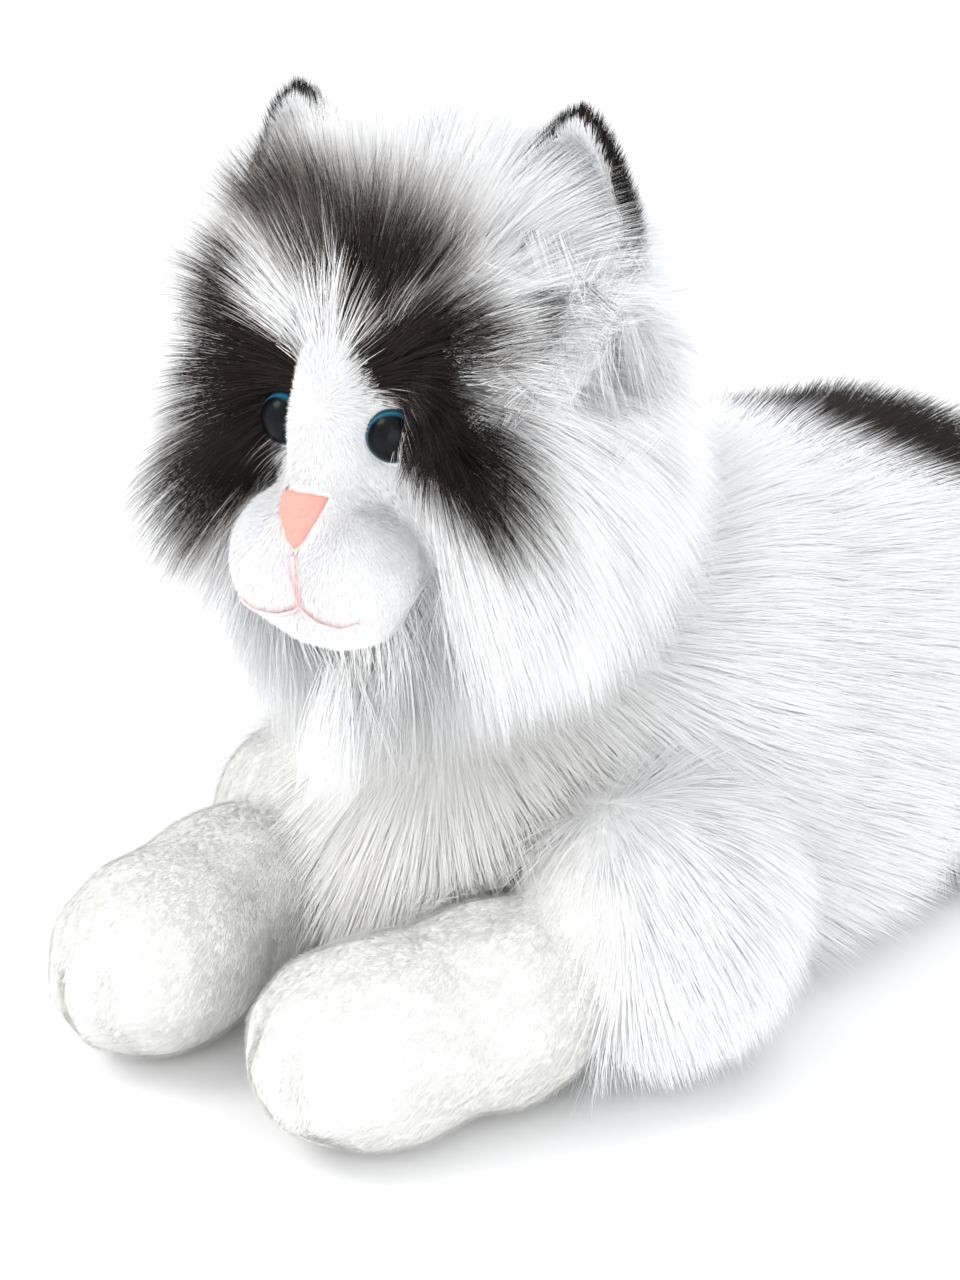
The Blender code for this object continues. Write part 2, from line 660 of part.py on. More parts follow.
FLOOR = half_space("floor", 2, -1, 0.0)
LEG_FLOOR = half_space("leg_floor", 2, -1, LEG_FOOT)
NECK = pivot("neck_joint", HEAD_CENTRE)
HEAD_PIVOT = pivot("head_joint", HEAD_CENTRE, (0.0, 0.0, HEAD_TURN))
SEAT = ball("head_seat", SEAT_RADIUS, NECK, segments=28)
make_head(HEAD_PIVOT)
make_neck(NECK)
leg_rooms = make_legs(LEG_FLOOR)
tail_room = make_tail(LEG_FLOOR)
make_trunk(FLOOR, SEAT, leg_rooms + [tail_room])
stand_on_origin()
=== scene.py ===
"""Visual scene of a long-haired plush cat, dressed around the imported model."""
import json
import math

import bmesh
import bpy
import numpy as np
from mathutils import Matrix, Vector
from mathutils.bvhtree import BVHTree
from mathutils.kdtree import KDTree

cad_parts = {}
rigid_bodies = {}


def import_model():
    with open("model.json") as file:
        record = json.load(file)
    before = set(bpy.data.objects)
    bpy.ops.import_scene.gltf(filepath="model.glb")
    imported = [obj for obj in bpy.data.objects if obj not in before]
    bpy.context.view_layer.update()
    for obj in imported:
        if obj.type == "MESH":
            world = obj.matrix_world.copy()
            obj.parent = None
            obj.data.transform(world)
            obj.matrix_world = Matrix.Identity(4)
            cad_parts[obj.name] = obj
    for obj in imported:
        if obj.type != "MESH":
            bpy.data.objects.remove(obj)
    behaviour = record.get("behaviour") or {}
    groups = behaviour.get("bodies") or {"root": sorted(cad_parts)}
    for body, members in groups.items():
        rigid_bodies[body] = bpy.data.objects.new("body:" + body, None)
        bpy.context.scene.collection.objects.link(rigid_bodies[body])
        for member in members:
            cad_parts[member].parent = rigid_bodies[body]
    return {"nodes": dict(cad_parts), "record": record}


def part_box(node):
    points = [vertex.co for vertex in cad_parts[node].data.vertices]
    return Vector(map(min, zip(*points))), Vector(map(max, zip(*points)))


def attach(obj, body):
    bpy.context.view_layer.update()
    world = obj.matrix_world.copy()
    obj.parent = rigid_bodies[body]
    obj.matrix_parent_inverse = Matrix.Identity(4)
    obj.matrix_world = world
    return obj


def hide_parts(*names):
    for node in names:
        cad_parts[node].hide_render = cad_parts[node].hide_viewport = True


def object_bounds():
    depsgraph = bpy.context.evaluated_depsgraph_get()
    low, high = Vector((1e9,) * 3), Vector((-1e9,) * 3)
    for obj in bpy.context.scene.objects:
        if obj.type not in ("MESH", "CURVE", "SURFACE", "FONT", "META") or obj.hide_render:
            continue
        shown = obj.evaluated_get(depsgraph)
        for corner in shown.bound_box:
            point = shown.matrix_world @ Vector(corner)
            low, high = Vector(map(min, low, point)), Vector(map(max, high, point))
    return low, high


for stray_object in list(bpy.data.objects):
    bpy.data.objects.remove(stray_object)
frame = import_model()
CAD_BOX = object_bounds()

scene = bpy.context.scene
NODES = frame["nodes"]
UP = np.array((0.0, 0.0, 1.0))
MOST_TRIANGLES = 190000


# ---------------------------------------------------------------- places

def joint_vector(name, key):
    """A row-frame vector of a joint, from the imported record."""
    for joint in frame["record"]["behaviour"]["joints"]:
        if joint["name"] == name:
            return np.array(joint[key], float)
    raise RuntimeError("no joint " + name)


def joint_place(name):
    return joint_vector(name, "pos_m")


def box_centre(*names):
    """The middle of the box around some CAD nodes."""
    boxes = np.array([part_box(name) for name in names])
    return (boxes[:, 0].min(0) + boxes[:, 1].max(0)) / 2


HEAD = joint_place("head_nod")
SIDE = joint_vector("head_nod", "axis")
SIDE = SIDE / np.linalg.norm(SIDE)
FRONT = np.cross(SIDE, UP)
FRONT = FRONT / np.linalg.norm(FRONT)
TRUNK_LOW = np.array(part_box("trunk_coat")[0])


def head_angles(points):
    """Bearing and height, in degrees, of points seen from the middle of the head, and their distance."""
    rel = points - HEAD
    across = rel @ SIDE
    ahead = rel @ FRONT
    reach = np.linalg.norm(rel, axis=1)
    bearing = np.degrees(np.arctan2(across, ahead))
    height = np.degrees(np.arcsin(np.clip(rel[:, 2] / np.maximum(reach, 1e-6), -1, 1)))
    return bearing, height, reach


# ---------------------------------------------------------------- meshes

def mesh_arrays(obj):
    """Vertices, vertex normals and triangles of an object's mesh."""
    me = obj.data
    me.calc_loop_triangles()
    verts = np.empty(len(me.vertices) * 3)
    me.vertices.foreach_get("co", verts)
    norms = np.empty(len(me.vertices) * 3)
    me.vertex_normals.foreach_get("vector", norms)
    tris = np.empty(len(me.loop_triangles) * 3, dtype=np.int32)
    me.loop_triangles.foreach_get("vertices", tris)
    return verts.reshape(-1, 3), norms.reshape(-1, 3), tris.reshape(-1, 3)


def new_object(name, me):
    obj = bpy.data.objects.new(name, me)
    scene.collection.objects.link(obj)
    return obj


def applied(obj):
    """The object with its modifiers applied."""
    deps = bpy.context.evaluated_depsgraph_get()
    me = bpy.data.meshes.new_from_object(obj.evaluated_get(deps), depsgraph=deps)
    obj.modifiers.clear()
    old = obj.data
    obj.data = me
    bpy.data.meshes.remove(old)
    return obj


def evened(obj, rounds, voxel=None):
    """The object remeshed at a voxel size, if one is given, and smoothed."""
    if voxel:
        mod = obj.modifiers.new("remesh", "REMESH")
        mod.mode = "VOXEL"
        mod.voxel_size = voxel
    mod = obj.modifiers.new("smooth", "SMOOTH")
    mod.factor = 0.5
    mod.iterations = rounds
    return applied(obj)


def largest_island(obj):
    """Drops all but the biggest connected piece of a mesh."""
    bm = bmesh.new()
    bm.from_mesh(obj.data)
    left = set(bm.verts)
    islands = []
    while left:
        seed = left.pop()
        found = [seed]
        stack = [seed]
        while stack:
            for edge in stack.pop().link_edges:
                for vert in edge.verts:
                    if vert in left:
                        left.discard(vert)
                        found.append(vert)
                        stack.append(vert)
        islands.append(found)
    islands.sort(key=len)
    doomed = [vert for island in islands[:-1] for vert in island]
    bmesh.ops.delete(bm, geom=doomed, context="VERTS")
    bm.to_mesh(obj.data)
    bm.free()


def push(obj, distance):
    """Moves each vertex along its normal, by one distance or by one for each."""
    verts, norms, _ = mesh_arrays(obj)
    obj.data.vertices.foreach_set("co", (verts + norms * np.reshape(distance, (-1, 1))).ravel())
    obj.data.update()


def hull_of(node):
    """The convex hull of a CAD node, as a mesh."""
    bm = bmesh.new()
    bm.from_mesh(NODES[node].data)
    made = bmesh.ops.convex_hull(bm, input=bm.verts)
    kept = {f for f in made["geom"] if isinstance(f, bmesh.types.BMFace)}
    bmesh.ops.delete(bm, geom=[f for f in bm.faces if f not in kept], context="FACES")
    me = bpy.data.meshes.new("hull")
    bm.to_mesh(me)
    bm.free()
    return me


OVERLAP = 0.0015


def skin(name, body, nodes, grow=0.0012, voxel=0.003, smooth=6, replaced=(), hulled=()):
    """The cloth under the fur: one closed skin around some CAD nodes, joined where they overlap."""
    bm = bmesh.new()
    for node in nodes:
        if node in hulled:
            me = hull_of(node)
        else:
            me = NODES[node].data.copy()
            verts, norms, _ = mesh_arrays(NODES[node])
            me.vertices.foreach_set("co", (verts + norms * OVERLAP).ravel())
        bm.from_mesh(me)
        bpy.data.meshes.remove(me)
    me = bpy.data.meshes.new(name)
    bm.to_mesh(me)
    bm.free()
    obj = evened(new_object(name, me), smooth, voxel)
    largest_island(obj)
    push(obj, grow - OVERLAP)
    obj.data.shade_smooth()
    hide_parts(*nodes, *replaced)
    SKINS[name] = obj
    SKIN_BODY[name] = body
    return obj


def fill_hollows(name, node, share, most, rounds):
    """Draws a skin out towards the convex hull of its stuffing, then evens it."""
    obj = SKINS[name]
    me = hull_of(node)
    hull = new_object(node + "_hull", me)
    verts, _, tris = mesh_arrays(hull)
    tree = BVHTree.FromPolygons(verts.tolist(), tris.tolist())
    bpy.data.objects.remove(hull)
    bpy.data.meshes.remove(me)
    verts, norms, _ = mesh_arrays(obj)
    out = np.zeros(len(verts))
    for i, (spot, heading) in enumerate(zip(verts.tolist(), norms.tolist())):
        hit = tree.ray_cast(Vector(spot), Vector(heading), most / share)
        if hit[0] is not None:
            out[i] = share * hit[3]
    push(obj, np.minimum(out, most))
    evened(obj, rounds)
    obj.data.shade_smooth()


SKINS = {}
SKIN_BODY = {}

skin("trunk_skin", "trunk", ["trunk_stuffing", "pellet_bag"], replaced=["trunk_coat", "saddle_panel"],
     voxel=0.004, smooth=12)
fill_hollows("trunk_skin", "trunk_stuffing", 0.8, 0.022, 24)
skin("head_skin", "head", ["head_stuffing", "muzzle_stuffing", "face_panel"], replaced=["head_coat"],
     voxel=0.002, smooth=4, grow=0.0, hulled=["head_stuffing"])
skin("neck_skin", "neck", ["neck_stuffing"], voxel=0.003)
for side in ("left", "right"):
    skin(f"foreleg_{side}_skin", f"foreleg_{side}", [f"foreleg_{side}_stuffing"],
         replaced=[f"foreleg_{side}_sleeve", f"foreleg_{side}_paw"], grow=0.0062)
    skin(f"hindleg_{side}_skin", f"hindleg_{side}", [f"hindleg_{side}_stuffing"],
         replaced=[f"hindleg_{side}_coat"], grow=0.002)
    skin(f"ear_{side}_skin", f"ear_{side}", [f"ear_{side}_back", f"ear_{side}_lining"], voxel=0.0018,
         smooth=3, grow=-0.0005)
for part in ("base", "middle", "tip"):
    skin(f"tail_{part}_skin", f"tail_{part}", [f"tail_{part}_stuffing"], replaced=[f"tail_{part}_coat"],
         grow=0.002)


def swell(name, places, distance):
    """Pushes a skin out round some places on the head, given by bearing, height and reach in degrees."""
    verts, _, _ = mesh_arrays(SKINS[name])
    bearing, height, _ = head_angles(verts)
    most = np.zeros(len(verts))
    for centre, radii in places:
        most = np.maximum(most, oval(bearing, height, centre, radii, 0, 1.0))
    push(SKINS[name], distance * most)


def oval(bearing, height, centre, radii, tilt=0.0, soft=0.25):
    """Mask of an oval on the head, in degrees of bearing and height."""
    turn = math.radians(tilt)
    a = (bearing - centre[0]) * np.cos(np.radians(centre[1]))
    b = height - centre[1]
    u = (a * math.cos(turn) + b * math.sin(turn)) / radii[0]
    v = (b * math.cos(turn) - a * math.sin(turn)) / radii[1]
    return np.clip((1 - np.hypot(u, v)) / soft + 0.5, 0, 1)


swell("head_skin", (((-66, -28), (18, 22)), ((62, -26), (24, 26))), 0.009)
swell("head_skin", (((-37, -30), (9, 16)),), -0.004)


# ---------------------------------------------------------------- clearance

CELL = 0.006
GRID_LOW = np.array(CAD_BOX[0]) - 0.045
GRID_HIGH = np.array(CAD_BOX[1]) + 0.045
GRID_SHAPE = np.ceil((GRID_HIGH - GRID_LOW) / CELL).astype(int) + 1


def clearance_grid(skins, reach=0.03):
    """Distance to the nearest skin on a coarse grid, negative inside. Strands may cover the ears' roots."""
    field = np.full(GRID_SHAPE, reach)
    for name, obj in skins.items():
        root = joint_place(name.replace("skin", "flex")) if name.startswith("ear") else None
        verts, _, tris = mesh_arrays(obj)
        tree = BVHTree.FromPolygons(verts.tolist(), tris.tolist())
        first = np.maximum(((verts.min(0) - reach - GRID_LOW) / CELL).astype(int), 0)
        last = np.minimum(((verts.max(0) + reach - GRID_LOW) / CELL).astype(int) + 2, GRID_SHAPE)
        for i in range(first[0], last[0]):
            for j in range(first[1], last[1]):
                for k in range(first[2], last[2]):
                    spot = Vector(GRID_LOW + CELL * np.array((i, j, k)))
                    place, normal, _, gap = tree.find_nearest(spot)
                    if (spot - place).dot(normal) < 0:
                        gap = -gap
                    if root is not None:
                        gap += 0.002 + 0.022 * math.exp(-(np.linalg.norm(np.array(spot) - root) / 0.024) ** 2)
                    if gap < field[i, j, k]:
                        field[i, j, k] = gap
    return field


def look_up(field, points):
    """Trilinear value and gradient of the clearance grid."""
    at = (points - GRID_LOW) / CELL
    at = np.clip(at, 0, GRID_SHAPE - 1.001)
    low = at.astype(int)
    f = at - low
    c = {}
    for i in (0, 1):
        for j in (0, 1):
            for k in (0, 1):
                c[i, j, k] = field[low[:, 0] + i, low[:, 1] + j, low[:, 2] + k]
    fx, fy, fz = f.T
    along = [[c[0, j, k] * (1 - fx) + c[1, j, k] * fx for k in (0, 1)] for j in (0, 1)]
    flat = [along[0][k] * (1 - fy) + along[1][k] * fy for k in (0, 1)]
    value = flat[0] * (1 - fz) + flat[1] * fz
    dz = flat[1] - flat[0]
    dy = (along[1][0] - along[0][0]) * (1 - fz) + (along[1][1] - along[0][1]) * fz
    dx = ((c[1, 0, 0] - c[0, 0, 0]) * (1 - fy) + (c[1, 1, 0] - c[0, 1, 0]) * fy) * (1 - fz)
    dx = dx + ((c[1, 0, 1] - c[0, 0, 1]) * (1 - fy) + (c[1, 1, 1] - c[0, 1, 1]) * fy) * fz
    grad = np.stack([dx, dy, dz], 1) / CELL
    return value, unit(grad)


def unit(v):
    """Each row scaled to length one."""
    return v / np.maximum(np.linalg.norm(v, axis=-1, keepdims=True), 1e-9)


FIELD = clearance_grid(SKINS)


# ---------------------------------------------------------------- fur

def constant(value):
    """A rule that gives the same value everywhere."""
    return lambda points: np.full(len(points), value)


def roots_on(obj, count, rng, weight):
    """Random points on a skin, with their normals, thinned by a weight from 0 to 1."""
    verts, norms, tris = mesh_arrays(obj)
    a, b, c = (verts[tris[:, i]] for i in range(3))
    area = np.linalg.norm(np.cross(b - a, c - a), axis=1) / 2
    area = area * np.clip(weight((a + b + c) / 3), 0, 1)
    pick = rng.choice(len(tris), count, p=area / area.sum())
    u, v = rng.random((2, count))
    flip = u + v > 1
    u[flip], v[flip] = 1 - u[flip], 1 - v[flip]
    w = 1 - u - v
    t = tris[pick]
    place = verts[t[:, 0]] * w[:, None] + verts[t[:, 1]] * u[:, None] + verts[t[:, 2]] * v[:, None]
    normal = norms[t[:, 0]] * w[:, None] + norms[t[:, 1]] * u[:, None] + norms[t[:, 2]] * v[:, None]
    return place, unit(normal)


def grow_paths(roots, normals, length, stand, comb, droop, stray, segments, rng):
    """Polylines that leave the skin along a mix of its normal and the comb direction, then bend down."""
    flow = comb(roots, normals)
    flow = unit(flow - (flow * normals).sum(1, keepdims=True) * normals)
    heading = unit(normals * stand[:, None] + flow * (1 - stand[:, None]) + rng.normal(0, stray, roots.shape))
    path = [roots]
    step = (length / segments)[:, None]
    for k in range(segments):
        path.append(path[-1] + heading * step)
        pull = droop[:, None] * (0.6 + 0.8 * k / segments)
        lean_over = flow * 0.10
        heading = unit(heading - UP * pull + lean_over + rng.normal(0, stray * 0.35, roots.shape))
    return np.stack(path, 1)


def keep_clear(path, margin):
    """Lifts strand points off the skins and the floor."""
    k = path.shape[1]
    for _ in range(2):
        for s in range(1, k):
            gap, away = look_up(FIELD, path[:, s])
            need = np.clip(margin * s / (k - 1) + 0.0006 - gap, 0, 0.02)
            path[:, s] += away * need[:, None]
    path[:, 1:, 2] = np.maximum(path[:, 1:, 2], 0.0007 + 0.0012 * np.linspace(0, 1, k - 1)[::-1])
    return path


def ribbon_mesh(name, path, width, facing, shade):
    """One mesh of tapered flat strands with a stored shade and a small map cell for each."""
    n, k, _ = path.shape
    along = unit(path[:, 1:] - path[:, :-1])
    along = np.concatenate([along, along[:, -1:]], 1)
    across = unit(np.cross(along, facing[:, None, :]))
    taper = (1 - np.linspace(0, 1, k) ** 1.6)[None, :, None] * width[:, None, None] / 2
    left = (path - across * taper)[:, :-1]
    right = (path + across * taper)[:, :-1]
    verts = np.concatenate([np.stack([left, right], 2).reshape(n, -1, 3), path[:, -1:]], 1)
    m = 2 * (k - 1) + 1
    base = (np.arange(n) * m)[:, None]
    quads = np.concatenate([np.array([2 * i, 2 * i + 1, 2 * i + 3, 2 * i + 2]) for i in range(k - 2)])
    corner = np.concatenate([quads, np.array([m - 3, m - 2, m - 1])])
    loops = (base + corner[None, :]).ravel()
    sizes = np.tile(np.array([4] * (k - 2) + [3]), n)
    me = bpy.data.meshes.new(name)
    me.vertices.add(n * m)
    me.vertices.foreach_set("co", verts.ravel())
    me.loops.add(len(loops))
    me.loops.foreach_set("vertex_index", loops)
    me.polygons.add(len(sizes))
    me.polygons.foreach_set("loop_start", np.concatenate([[0], np.cumsum(sizes)[:-1]]))
    me.update(calc_edges=True)
    me.shade_smooth()
    level = np.repeat(np.arange(k - 1), 2) / (k - 1)
    level = np.append(level, 1.0)
    data = np.empty((n, m, 4))
    data[:, :, 0] = shade[:, 0:1]
    data[:, :, 1] = level[None, :]
    data[:, :, 2] = shade[:, 1:2]
    data[:, :, 3] = shade[:, 2:3]
    layer = me.attributes.new("fur", "FLOAT_COLOR", "POINT")
    layer.data.foreach_set("color", data.ravel())
    side = int(math.ceil(math.sqrt(n)))
    cell = 1.0 / side
    corner_u = np.array([0.2 if v % 2 == 0 else 0.8 for v in corner])
    corner_u[-1] = 0.5
    corner_v = 0.15 + 0.7 * level[corner]
    cx = (np.arange(n) % side)[:, None]
    cy = (np.arange(n) // side)[:, None]
    uv = np.stack([(cx + corner_u[None]) * cell, (cy + corner_v[None]) * cell], 2)
    layer = me.uv_layers.new(name="OFBake")
    layer.data.foreach_set("uv", uv.ravel())
    return new_object(name, me)


def fur(name, skin_name, count, length, stand, comb, shade, weight=constant(1.0), droop=constant(0.10),
        stray=0.10, clump=0.4, clump_gap=12, width=0.00030, segments=4, seed=1, margin=0.004,
        facing_noise=0.2, avoid=None, blush=None):
    """A coat of strands on one skin, split into pieces of a bounded size."""
    rng = np.random.default_rng(seed)
    obj = SKINS[skin_name]
    roots, normals = roots_on(obj, count, rng, weight)
    size = length(roots) * rng.uniform(0.78, 1.15, count)
    up = stand(roots)
    sag = droop(roots)
    path = grow_paths(roots, normals, size, up, comb, sag, stray, segments, rng)
    lead = rng.choice(count, max(count // clump_gap, 1), replace=False)
    lead_path = grow_paths(roots[lead], normals[lead], size[lead], up[lead], comb, sag[lead], stray * 1.6,
                           segments, rng)
    tree = KDTree(len(lead))
    for i, p in enumerate(roots[lead]):
        tree.insert(p, i)
    tree.balance()
    nearest = np.array([tree.find(p)[1] for p in roots])
    pull = clump * rng.uniform(0.5, 1.1, count)[:, None] * np.linspace(0, 1, segments + 1)[None] ** 1.3
    path = path + (lead_path[nearest] - path) * np.clip(pull, 0, 0.97)[:, :, None]
    path = keep_clear(path, margin)
    if avoid:
        kept = np.ones(count, bool)
        for s in range(segments + 1):
            kept &= clear_of(path[:, s], *avoid)
        roots, normals, path = roots[kept], normals[kept], path[kept]
        count = len(path)
    facing = unit(normals + rng.normal(0, facing_noise, normals.shape))
    tone = shade(path, rng)
    wide = width * rng.uniform(0.7, 1.3, count)
    per_piece = MOST_TRIANGLES // (2 * segments - 1)
    order = np.argsort(rng.random(count)) if count > per_piece else np.arange(count)
    pieces = []
    for i, start in enumerate(range(0, count, per_piece)):
        part = order[start:start + per_piece]
        piece = ribbon_mesh(f"{name}_{i + 1}", path[part], wide[part], facing[part], tone[part])
        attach(piece, SKIN_BODY[skin_name])
        piece.data.materials.append(FUR)
        if blush:
            stain(piece, blush)
        pieces.append(piece)
    return pieces


def stain(piece, lines, reach=0.0022, most=0.75):
    """Tints the pile pink beside the stitched lines, more at the philtrum's end of the mouth."""
    verts, _, _ = mesh_arrays(piece)
    gap = gaps(verts, tree_of(*lines))
    corner = mesh_arrays(lines[1])[0]
    corner = corner[corner[:, 2].argmin()]
    fade = np.clip(1.25 - np.linalg.norm(verts - corner, axis=1) / 0.024, 0, 1)
    layer = piece.data.attributes.new("pink", "FLOAT", "POINT")
    layer.data.foreach_set("value", most * fade * np.clip(1 - gap / reach, 0, 1))


def tree_of(*objects):
    """One search tree around the surfaces of some objects."""
    verts, tris = [], []
    for obj in objects:
        v, _, t = mesh_arrays(obj)
        tris.extend((t + len(verts)).tolist())
        verts.extend(v.tolist())
    return BVHTree.FromPolygons(verts, tris)


def gaps(points, tree):
    """Distance from each point to a search tree's surface."""
    return np.array([tree.find_nearest(p)[3] for p in points])


def clear_of(points, tree, gap, middle, reach):
    """True where a point is further than gap from a surface; only points near its middle are looked up."""
    near = np.linalg.norm(points - middle, axis=1) < reach
    clear = np.ones(len(points), bool)
    clear[near] = gaps(points[near], tree) > gap if near.any() else True
    return clear


# ---------------------------------------------------------------- colours

HEAD_PATCHES = (
    ((16, 43), (18, 11), 0.5, 0.95), ((34, 21), (13, 14), 0.3, 1.0), ((41, -4), (12, 14), 0.3, 1.0),
    ((24, 20), (12, 12), 0.25, 1.0), ((45, -12), (8, 8), 0.4, 1.0), ((34, -1), (12, 13), 0.25, 1.0),
    ((-31, 6), (20, 20), 0.25, 0.95), ((-38, -16), (15, 14), 0.3, 0.95), ((-44, 26), (15, 12), 0.3, 0.95),
    ((-25, 51), (36, 11), 0.6, 0.82),
)
BLAZE = (((4, 18), (8, 12), 0), ((-13, 32), (16, 9), 20))


def head_dark(points):
    """How dark brown the coat is at each point on the head, from 0 to 1."""
    bearing, height, _ = head_angles(points)
    dark = np.zeros(len(points))
    for centre, radii, soft, most in HEAD_PATCHES:
        dark = np.maximum(dark, most * oval(bearing, height, centre, radii, 0, soft))
    for centre, radii, tilt in BLAZE:
        dark = dark * (1 - oval(bearing, height, centre, radii, tilt))
    return dark


def head_shade(path, rng):
    """Dark amount, random and warmth of each strand on the head."""
    n = len(path)
    middle = path[:, path.shape[1] // 2] + rng.normal(0, 0.0022, (n, 3))
    dark = head_dark(middle)
    dark = np.clip(dark + rng.normal(0, 0.12, n) * (dark > 0.05) * (dark < 0.95), 0, 1)
    return np.stack([dark, rng.random(n), np.clip(rng.normal(0.25, 0.2, n), 0, 1)], 1)


def trunk_shade(path, rng):
    """The saddle is dark, the rest of the trunk white."""
    n = len(path)
    dark = near_saddle(path[:, 0])
    dark = np.clip(dark + rng.normal(0, 0.10, n) * (dark > 0.05) * (dark < 0.95), 0, 1)
    chest = np.clip((TRUNK_LOW[1] + 0.10 - path[:, 0, 1]) / 0.06, 0, 1)
    return np.stack([dark, rng.random(n), np.clip(0.75 * chest + rng.normal(0.1, 0.12, n), 0, 1)], 1)


SADDLE = tree_of(NODES["saddle_panel"])


def near_saddle(points):
    """1 on the saddle patch, 0 away from it. The fur's patch sits a little behind the panel's front edge."""
    return np.clip((0.026 - gaps(points - np.array((0, 0.021, 0)), SADDLE)) / 0.008, 0, 1)


def ear_dark(side):
    """The ear's back and rim are dark, its lining white."""
    behind = tree_of(NODES[f"ear_{side}_back"])
    inside = tree_of(NODES[f"ear_{side}_lining"])

    def dark(points):
        return np.clip((gaps(points, inside) - gaps(points, behind)) / 0.0006 + 0.5, 0, 1)
    return dark


def ear_length(side):
    dark = ear_dark(side)
    return lambda points: 0.0045 + 0.0032 * dark(points)


def ear_shade(side):
    dark = ear_dark(side)

    def shade(path, rng):
        n = len(path)
        return np.stack([dark(path[:, 0]), rng.random(n), np.zeros(n)], 1)
    return shade


def plain_shade(dark, warm=0.25):
    def shade(path, rng):
        n = len(path)
        return np.stack([np.full(n, dark), rng.random(n), np.clip(rng.normal(warm, 0.2, n), 0, 1)], 1)
    return shade


# ---------------------------------------------------------------- materials

def new_material(name):
    mat = bpy.data.materials.new(name)
    mat.use_nodes = True
    return mat, mat.node_tree.nodes, mat.node_tree.links, mat.node_tree.nodes["Principled BSDF"]


def mixed(nodes, links, factor, a, b, blend="MIX"):
    """A colour mix whose inputs are sockets or plain values."""
    node = nodes.new("ShaderNodeMix")
    node.data_type = "RGBA"
    node.blend_type = blend
    for socket, value in ((node.inputs[0], factor), (node.inputs[6], a), (node.inputs[7], b)):
        if isinstance(value, bpy.types.NodeSocket):
            links.new(value, socket)
        elif isinstance(value, tuple):
            socket.default_value = (*value, 1.0)
        else:
            socket.default_value = value
    return node.outputs[2]


def noise(nodes, links, scale, detail=3.0, coordinates="Object"):
    coords = nodes.new("ShaderNodeTexCoord")
    tex = nodes.new("ShaderNodeTexNoise")
    tex.inputs["Scale"].default_value = scale
    tex.inputs["Detail"].default_value = detail
    links.new(coords.outputs[coordinates], tex.inputs["Vector"])
    return tex.outputs["Fac"]


def ranged(nodes, links, value, low, high, to_low=0.0, to_high=1.0):
    node = nodes.new("ShaderNodeMapRange")
    node.inputs["From Min"].default_value = low
    node.inputs["From Max"].default_value = high
    node.inputs["To Min"].default_value = to_low
    node.inputs["To Max"].default_value = to_high
    links.new(value, node.inputs["Value"])
    return node.outputs["Result"]


def bumped(nodes, links, shader, height, strength, distance):
    """Lays a bump over a shader's surface."""
    bump = nodes.new("ShaderNodeBump")
    bump.inputs["Strength"].default_value = strength
    bump.inputs["Distance"].default_value = distance
    links.new(height, bump.inputs["Height"])
    links.new(bump.outputs["Normal"], shader.inputs["Normal"])


COOL_WHITE = (0.935, 0.94, 0.955)
CREAM_WHITE = (0.955, 0.95, 0.905)


def fur_material():
    """Strand colour from the stored shade: dark amount, root to tip, random, warmth. The roots carry a
    painted shade.
    """
    mat, nodes, links, shader = new_material("long_pile")
    attr = nodes.new("ShaderNodeAttribute")
    attr.attribute_name = "fur"
    split = nodes.new("ShaderNodeSeparateColor")
    links.new(attr.outputs["Color"], split.inputs[0])
    dark, along, chance = split.outputs
    warm = attr.outputs["Alpha"]
    white = mixed(nodes, links, warm, COOL_WHITE, CREAM_WHITE)
    drift = ranged(nodes, links, noise(nodes, links, 45.0), 0.35, 0.65)
    shadow = mixed(nodes, links, drift, (0.965, 0.965, 0.975), (1.0, 1.0, 1.0))
    white = mixed(nodes, links, 1.0, white, shadow, "MULTIPLY")
    # painted shade: each strand is darker at its root, standing in for the shade deep inside the coat
    tip = mixed(nodes, links, along, (0.92, 0.92, 0.92), (1.0, 1.0, 1.0))
    white = mixed(nodes, links, 1.0, white, tip, "MULTIPLY")
    blush = nodes.new("ShaderNodeAttribute")
    blush.attribute_name = "pink"
    white = mixed(nodes, links, blush.outputs["Fac"], white, (0.80, 0.40, 0.42))
    brown = mixed(nodes, links, chance, (0.006, 0.0045, 0.004), (0.030, 0.021, 0.018))
    tan = mixed(nodes, links, chance, (0.26, 0.225, 0.20), (0.44, 0.40, 0.37))
    half = ranged(nodes, links, dark, 0.0, 0.55)
    full = ranged(nodes, links, dark, 0.50, 0.85)
    colour = mixed(nodes, links, half, white, tan)
    colour = mixed(nodes, links, full, colour, brown)
    links.new(colour, shader.inputs["Base Color"])
    shader.inputs["Roughness"].default_value = 0.6
    shader.inputs["Specular IOR Level"].default_value = 0.12
    shader.inputs["Sheen Weight"].default_value = 0.06
    shader.inputs["Sheen Roughness"].default_value = 0.4
    return mat


def plastic_material(name, low, high, scale):
    """Grained plastic with a soft colour drift."""
    mat, nodes, links, shader = new_material(name)
    drift = noise(nodes, links, 40.0)
    colour = mixed(nodes, links, drift, low, high)
    links.new(colour, shader.inputs["Base Color"])
    shader.inputs["Roughness"].default_value = 0.9
    shader.inputs["Sheen Weight"].default_value = 0.0
    bumped(nodes, links, shader, noise(nodes, links, scale, 2.0), 0.5, 0.0006)
    return mat


